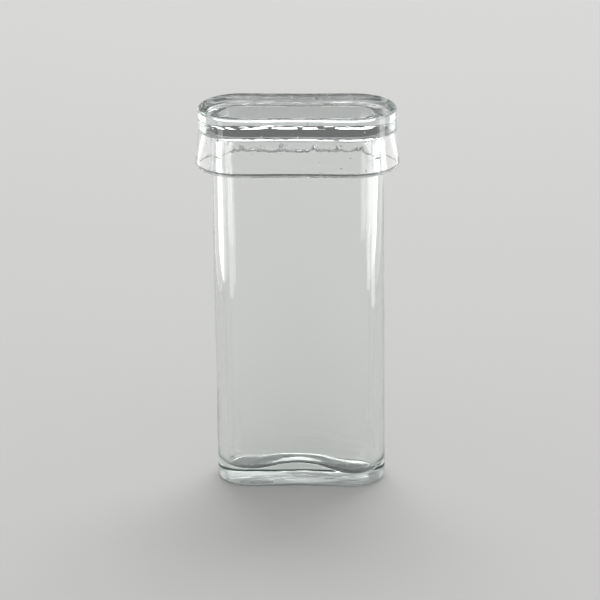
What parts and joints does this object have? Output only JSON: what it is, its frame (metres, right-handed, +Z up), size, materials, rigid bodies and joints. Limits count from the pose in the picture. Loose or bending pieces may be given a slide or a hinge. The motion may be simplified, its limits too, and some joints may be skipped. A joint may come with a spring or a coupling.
{
  "type": "specimen jar",
  "caption": "Tall narrow oblong clear glass specimen jar with round ends and a waisted middle, closed by a thick loose glass lid whose flared skirt hangs over the rim.",
  "frame": {"origin": "on the standing surface, under the middle of the jar", "axes": "+Z up the jar, +X along the long way of its outline, +Y across its long faces"},
  "size_m": [0.0536, 0.0256, 0.1048],
  "materials": {
    "jar_glass": "clear hand-finished glass with a ground rim",
    "lid_glass": "clear pressed glass"
  },
  "bodies": {
    "jar": {"jar_body": "jar_glass"},
    "lid": {"lid": "lid_glass"}
  },
  "joints": [
    {"name": "lid_lift", "type": "slide", "parent": "jar", "child": "lid", "axis": [0, 0, 1], "range_m": [0, 0.045]}
  ]
}
